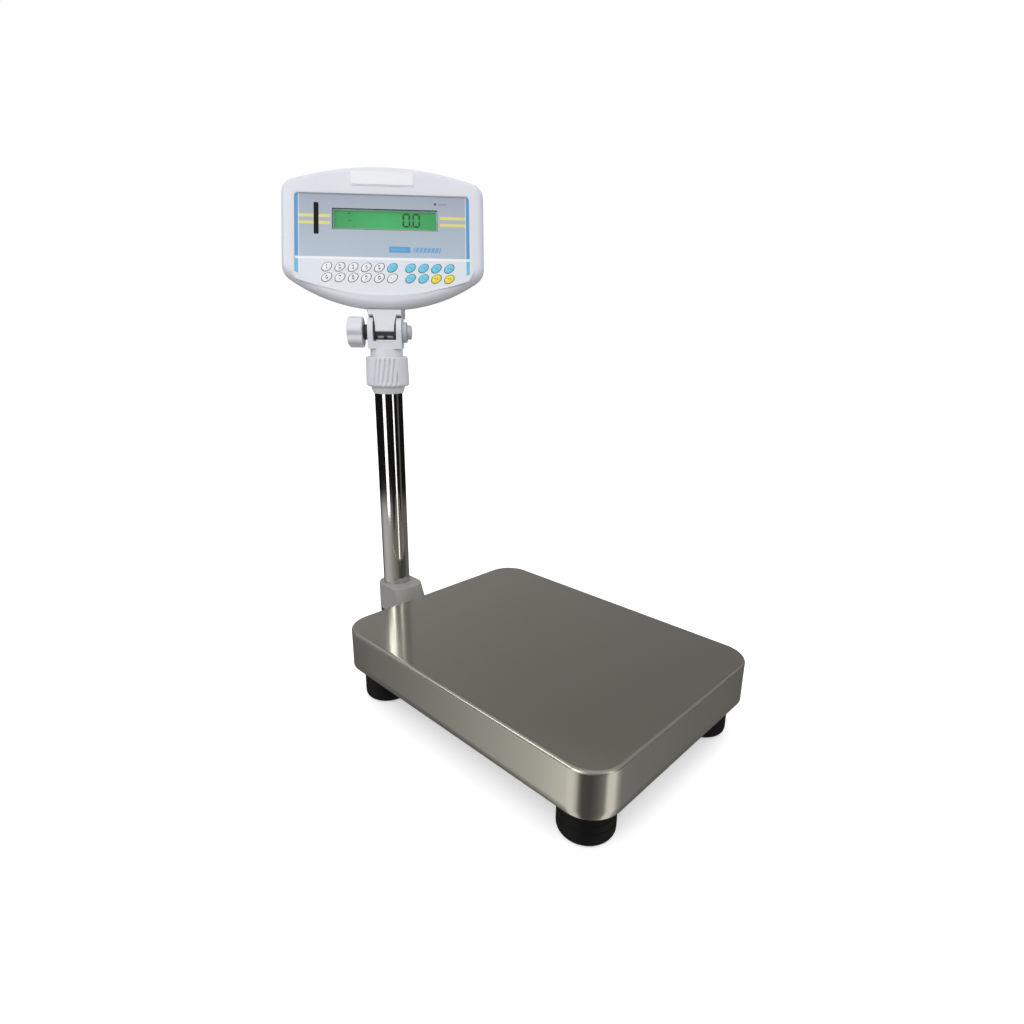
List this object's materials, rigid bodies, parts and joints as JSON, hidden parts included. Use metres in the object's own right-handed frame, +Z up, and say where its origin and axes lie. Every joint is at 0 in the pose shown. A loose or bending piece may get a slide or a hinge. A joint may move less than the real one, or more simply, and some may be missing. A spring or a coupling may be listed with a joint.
{
  "type": "bench scale",
  "caption": "Bench weighing scale: flat rectangular steel pan on screw-adjusted rubber feet, with a turning and tilting keypad display head on a rear column.",
  "frame": {"origin": "on the floor plane under the pan's centre", "axes": "+Z up, +Y from the pan towards the column, +X to the right of a person at the front of the pan"},
  "size_m": [0.3047, 0.6423, 0.6577],
  "materials": {
    "frame_paint": "satin powder coat",
    "plated_steel": "zinc plated",
    "cell_aluminium": "milled",
    "soft_silicone": "matte",
    "brushed_stainless": "brushed",
    "vial_glass": "clear, tinted liquid",
    "bracket_paint": "grey paint",
    "polished_column": "polished",
    "joint_white": "fine satin",
    "joint_black": "matte",
    "bolt_grey": "satin",
    "shell_white": "satin moulded",
    "gasket_rubber": "matte",
    "panel_print": "satin print under a clear skin",
    "clear_window": "clear",
    "slot_glass": "dark tinted",
    "display_green": "backlit",
    "board_green": "solder mask",
    "battery_case": "matte",
    "socket_black": "matte",
    "socket_metal": "plated",
    "foot_rubber": "matte",
    "key_white": "satin",
    "key_blue": "satin",
    "key_yellow": "satin"
  },
  "bodies": {
    "base": {"base_frame": "frame_paint", "foot_lock_nuts": "plated_steel", "load_cell": "cell_aluminium", "lower_cell_bolts": "plated_steel", "overload_stops": "plated_steel", "level_vial": "vial_glass", "column_bracket": "bracket_paint", "bracket_bolts": "plated_steel", "column_tube": "polished_column", "clamp_ring": "joint_white"},
    "platform": {"upper_frame": "frame_paint", "upper_cell_bolts": "plated_steel", "pan_buffers": "soft_silicone"},
    "pan": {"weighing_pan": "brushed_stainless"},
    "collar": {"locking_collar": "joint_white"},
    "yoke": {"swivel_yoke": "joint_white", "pivot_bush": "joint_black", "tilt_bolt": "bolt_grey", "friction_washers": "joint_black"},
    "knob": {"tilt_knob": "joint_white"},
    "head": {"tilt_bracket": "joint_white", "tilt_bracket_screws": "plated_steel", "front_housing": "shell_white", "rear_housing": "shell_white", "housing_gasket": "gasket_rubber", "housing_screws": "plated_steel", "keypad_overlay": "panel_print", "display_window": "clear_window", "slot_window": "slot_glass", "lcd_module": "display_green", "circuit_board": "board_green", "battery": "battery_case", "top_badge": "shell_white", "power_inlet": "socket_black", "serial_port": "socket_metal"},
    "rocker": {"rocker_switch": "socket_black"},
    "foot_front_left": {"foot_front_left": "foot_rubber"},
    "foot_front_right": {"foot_front_right": "foot_rubber"},
    "foot_rear_left": {"foot_rear_left": "foot_rubber"},
    "foot_rear_right": {"foot_rear_right": "foot_rubber"},
    "key_1": {"key_1": "key_white"},
    "key_2": {"key_2": "key_white"},
    "key_3": {"key_3": "key_white"},
    "key_4": {"key_4": "key_white"},
    "key_5": {"key_5": "key_white"},
    "key_6": {"key_6": "key_white"},
    "key_7": {"key_7": "key_white"},
    "key_8": {"key_8": "key_white"},
    "key_9": {"key_9": "key_white"},
    "key_0": {"key_0": "key_white"},
    "key_clear": {"key_clear": "key_blue"},
    "key_point": {"key_point": "key_white"},
    "key_units": {"key_units": "key_blue"},
    "key_check": {"key_check": "key_blue"},
    "key_print": {"key_print": "key_blue"},
    "key_function": {"key_function": "key_blue"},
    "key_net": {"key_net": "key_blue"},
    "key_total": {"key_total": "key_blue"},
    "key_tare": {"key_tare": "key_yellow"},
    "key_zero": {"key_zero": "key_yellow"}
  },
  "joints": [
    {"name": "platform_deflection", "type": "slide", "parent": "base", "child": "platform", "axis": [0, 0, -1], "range_m": [0, 0.0004], "stiffness_N_per_m": 100000, "springref_m": -0.0006, "deforming": ["load_cell"]},
    {"name": "pan_lift", "type": "slide", "parent": "platform", "child": "pan", "axis": [0, 0, 1], "range_m": [0, 0.06]},
    {"name": "collar_turn", "type": "hinge", "parent": "base", "child": "collar", "pos_m": [0, 0.292, 0.392], "axis": [0, 0, 1], "range_deg": [0, 180]},
    {"name": "head_swivel", "type": "hinge", "parent": "base", "child": "yoke", "pos_m": [0, 0.292, 0.405], "axis": [0, 0, 1], "range_deg": [-129, 211]},
    {"name": "head_tilt", "type": "hinge", "parent": "yoke", "child": "head", "pos_m": [0, 0.292, 0.4445], "axis": [0.7547, -0.6561, 0], "range_deg": [-27, 18]},
    {"name": "knob_turn", "type": "hinge", "parent": "yoke", "child": "knob", "pos_m": [-0.03019, 0.31824, 0.4445], "axis": [-0.7547, 0.6561, 0], "range_deg": [0, 360]},
    {"name": "power_rocker", "type": "hinge", "parent": "head", "child": "rocker", "pos_m": [0.10375, 0.27111, 0.51162], "axis": [0.7547, -0.6561, 0], "range_deg": [-18, 0]},
    {"name": "foot_front_left_screw", "type": "slide", "parent": "base", "child": "foot_front_left", "axis": [0, 0, -1], "range_m": [0, 0.012]},
    {"name": "foot_front_right_screw", "type": "slide", "parent": "base", "child": "foot_front_right", "axis": [0, 0, -1], "range_m": [0, 0.012]},
    {"name": "foot_rear_left_screw", "type": "slide", "parent": "base", "child": "foot_rear_left", "axis": [0, 0, -1], "range_m": [0, 0.012]},
    {"name": "foot_rear_right_screw", "type": "slide", "parent": "base", "child": "foot_rear_right", "axis": [0, 0, -1], "range_m": [0, 0.012]},
    {"name": "key_1_press", "type": "slide", "parent": "head", "child": "key_1", "axis": [0.6239, 0.7178, -0.309], "range_m": [0, 0.0004], "stiffness_N_per_m": 5000},
    {"name": "key_2_press", "type": "slide", "parent": "head", "child": "key_2", "axis": [0.6239, 0.7178, -0.309], "range_m": [0, 0.0004], "stiffness_N_per_m": 5000},
    {"name": "key_3_press", "type": "slide", "parent": "head", "child": "key_3", "axis": [0.6239, 0.7178, -0.309], "range_m": [0, 0.0004], "stiffness_N_per_m": 5000},
    {"name": "key_4_press", "type": "slide", "parent": "head", "child": "key_4", "axis": [0.6239, 0.7178, -0.309], "range_m": [0, 0.0004], "stiffness_N_per_m": 5000},
    {"name": "key_5_press", "type": "slide", "parent": "head", "child": "key_5", "axis": [0.6239, 0.7178, -0.309], "range_m": [0, 0.0004], "stiffness_N_per_m": 5000},
    {"name": "key_6_press", "type": "slide", "parent": "head", "child": "key_6", "axis": [0.6239, 0.7178, -0.309], "range_m": [0, 0.0004], "stiffness_N_per_m": 5000},
    {"name": "key_7_press", "type": "slide", "parent": "head", "child": "key_7", "axis": [0.6239, 0.7178, -0.309], "range_m": [0, 0.0004], "stiffness_N_per_m": 5000},
    {"name": "key_8_press", "type": "slide", "parent": "head", "child": "key_8", "axis": [0.6239, 0.7178, -0.309], "range_m": [0, 0.0004], "stiffness_N_per_m": 5000},
    {"name": "key_9_press", "type": "slide", "parent": "head", "child": "key_9", "axis": [0.6239, 0.7178, -0.309], "range_m": [0, 0.0004], "stiffness_N_per_m": 5000},
    {"name": "key_0_press", "type": "slide", "parent": "head", "child": "key_0", "axis": [0.6239, 0.7178, -0.309], "range_m": [0, 0.0004], "stiffness_N_per_m": 5000},
    {"name": "key_clear_press", "type": "slide", "parent": "head", "child": "key_clear", "axis": [0.6239, 0.7178, -0.309], "range_m": [0, 0.0004], "stiffness_N_per_m": 5000},
    {"name": "key_point_press", "type": "slide", "parent": "head", "child": "key_point", "axis": [0.6239, 0.7178, -0.309], "range_m": [0, 0.0004], "stiffness_N_per_m": 5000},
    {"name": "key_units_press", "type": "slide", "parent": "head", "child": "key_units", "axis": [0.6239, 0.7178, -0.309], "range_m": [0, 0.0004], "stiffness_N_per_m": 5000},
    {"name": "key_check_press", "type": "slide", "parent": "head", "child": "key_check", "axis": [0.6239, 0.7178, -0.309], "range_m": [0, 0.0004], "stiffness_N_per_m": 5000},
    {"name": "key_print_press", "type": "slide", "parent": "head", "child": "key_print", "axis": [0.6239, 0.7178, -0.309], "range_m": [0, 0.0004], "stiffness_N_per_m": 5000},
    {"name": "key_function_press", "type": "slide", "parent": "head", "child": "key_function", "axis": [0.6239, 0.7178, -0.309], "range_m": [0, 0.0004], "stiffness_N_per_m": 5000},
    {"name": "key_net_press", "type": "slide", "parent": "head", "child": "key_net", "axis": [0.6239, 0.7178, -0.309], "range_m": [0, 0.0004], "stiffness_N_per_m": 5000},
    {"name": "key_total_press", "type": "slide", "parent": "head", "child": "key_total", "axis": [0.6239, 0.7178, -0.309], "range_m": [0, 0.0004], "stiffness_N_per_m": 5000},
    {"name": "key_tare_press", "type": "slide", "parent": "head", "child": "key_tare", "axis": [0.6239, 0.7178, -0.309], "range_m": [0, 0.0004], "stiffness_N_per_m": 5000},
    {"name": "key_zero_press", "type": "slide", "parent": "head", "child": "key_zero", "axis": [0.6239, 0.7178, -0.309], "range_m": [0, 0.0004], "stiffness_N_per_m": 5000}
  ]
}
